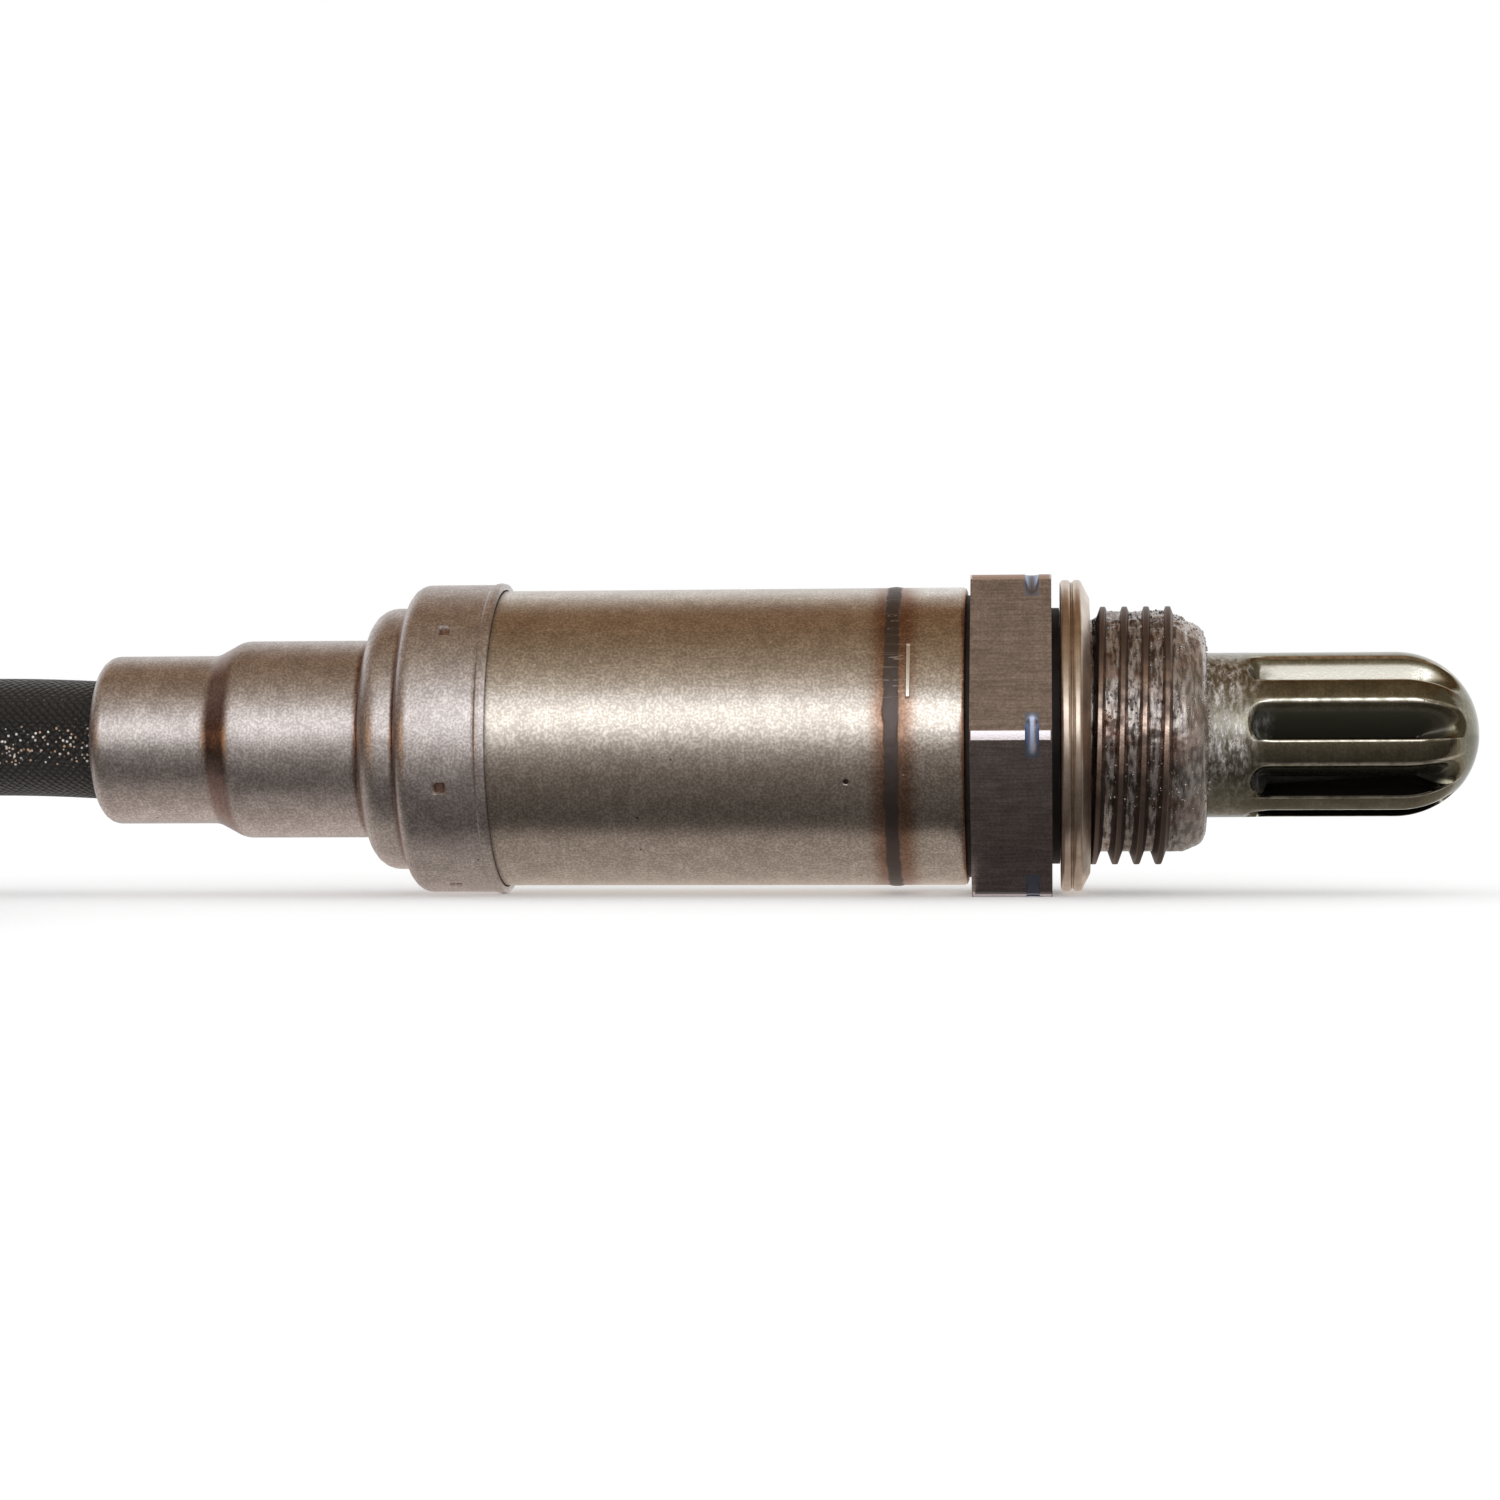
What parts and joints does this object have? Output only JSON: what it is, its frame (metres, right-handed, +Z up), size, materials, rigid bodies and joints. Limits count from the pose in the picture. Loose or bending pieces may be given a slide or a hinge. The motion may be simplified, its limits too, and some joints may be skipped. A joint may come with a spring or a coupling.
{
  "type": "oxygen sensor",
  "caption": "Heated exhaust oxygen sensor with an M18 thread, a hexagon, a louvred protection tube, a welded sleeve, a stepped rear cap and a short braided lead with a connector.",
  "frame": {"origin": "on the surface that the sensor lies on, under the middle of its own length", "axes": "+X along the sensor's axis towards the protection tube's tip, +Z up from the flat of the hexagon that it lies on"},
  "size_m": [0.1928, 0.1061, 0.022],
  "materials": {
    "shell_steel": "turned, browned by heat",
    "gasket_steel": "formed strip",
    "tube_steel": "heat-darkened, satin",
    "sleeve_steel": "drawn, satin",
    "cap_steel": "drawn, satin",
    "seal_metal": "soft metal",
    "zirconia": "fired",
    "heater_ceramic": "fired",
    "holder_ceramic": "fired",
    "spring_steel": "hardened",
    "contact_metal": "plated",
    "grommet_rubber": "moulded",
    "black_insulation": "smooth",
    "grey_insulation": "smooth",
    "white_insulation": "smooth",
    "braid": "woven, lacquered",
    "tie_plastic": "moulded",
    "shrink_plastic": "shrunk",
    "connector_plastic": "moulded",
    "seal_rubber": "moulded",
    "lock_plastic": "moulded"
  },
  "bodies": {
    "root": {"shell": "shell_steel", "seat_gasket": "gasket_steel", "protection_tube": "tube_steel", "outer_sleeve": "sleeve_steel", "rear_cap": "cap_steel", "seal_ring": "seal_metal", "zirconia_thimble": "zirconia", "heater_rod": "heater_ceramic", "ceramic_holder": "holder_ceramic", "disc_spring": "spring_steel", "signal_contact": "contact_metal", "ground_contact": "contact_metal", "heater_terminals": "contact_metal", "grommet": "grommet_rubber", "signal_lead": "black_insulation", "ground_lead": "grey_insulation", "heater_leads": "white_insulation", "cable": "braid", "cable_tie": "tie_plastic", "shrink_band": "shrink_plastic", "tail_signal_lead": "black_insulation", "tail_ground_lead": "grey_insulation", "tail_heater_leads": "white_insulation", "connector_housing": "connector_plastic", "wire_seal": "seal_rubber", "terminal_lock": "lock_plastic", "connector_terminals": "contact_metal"}
  },
  "joints": []
}
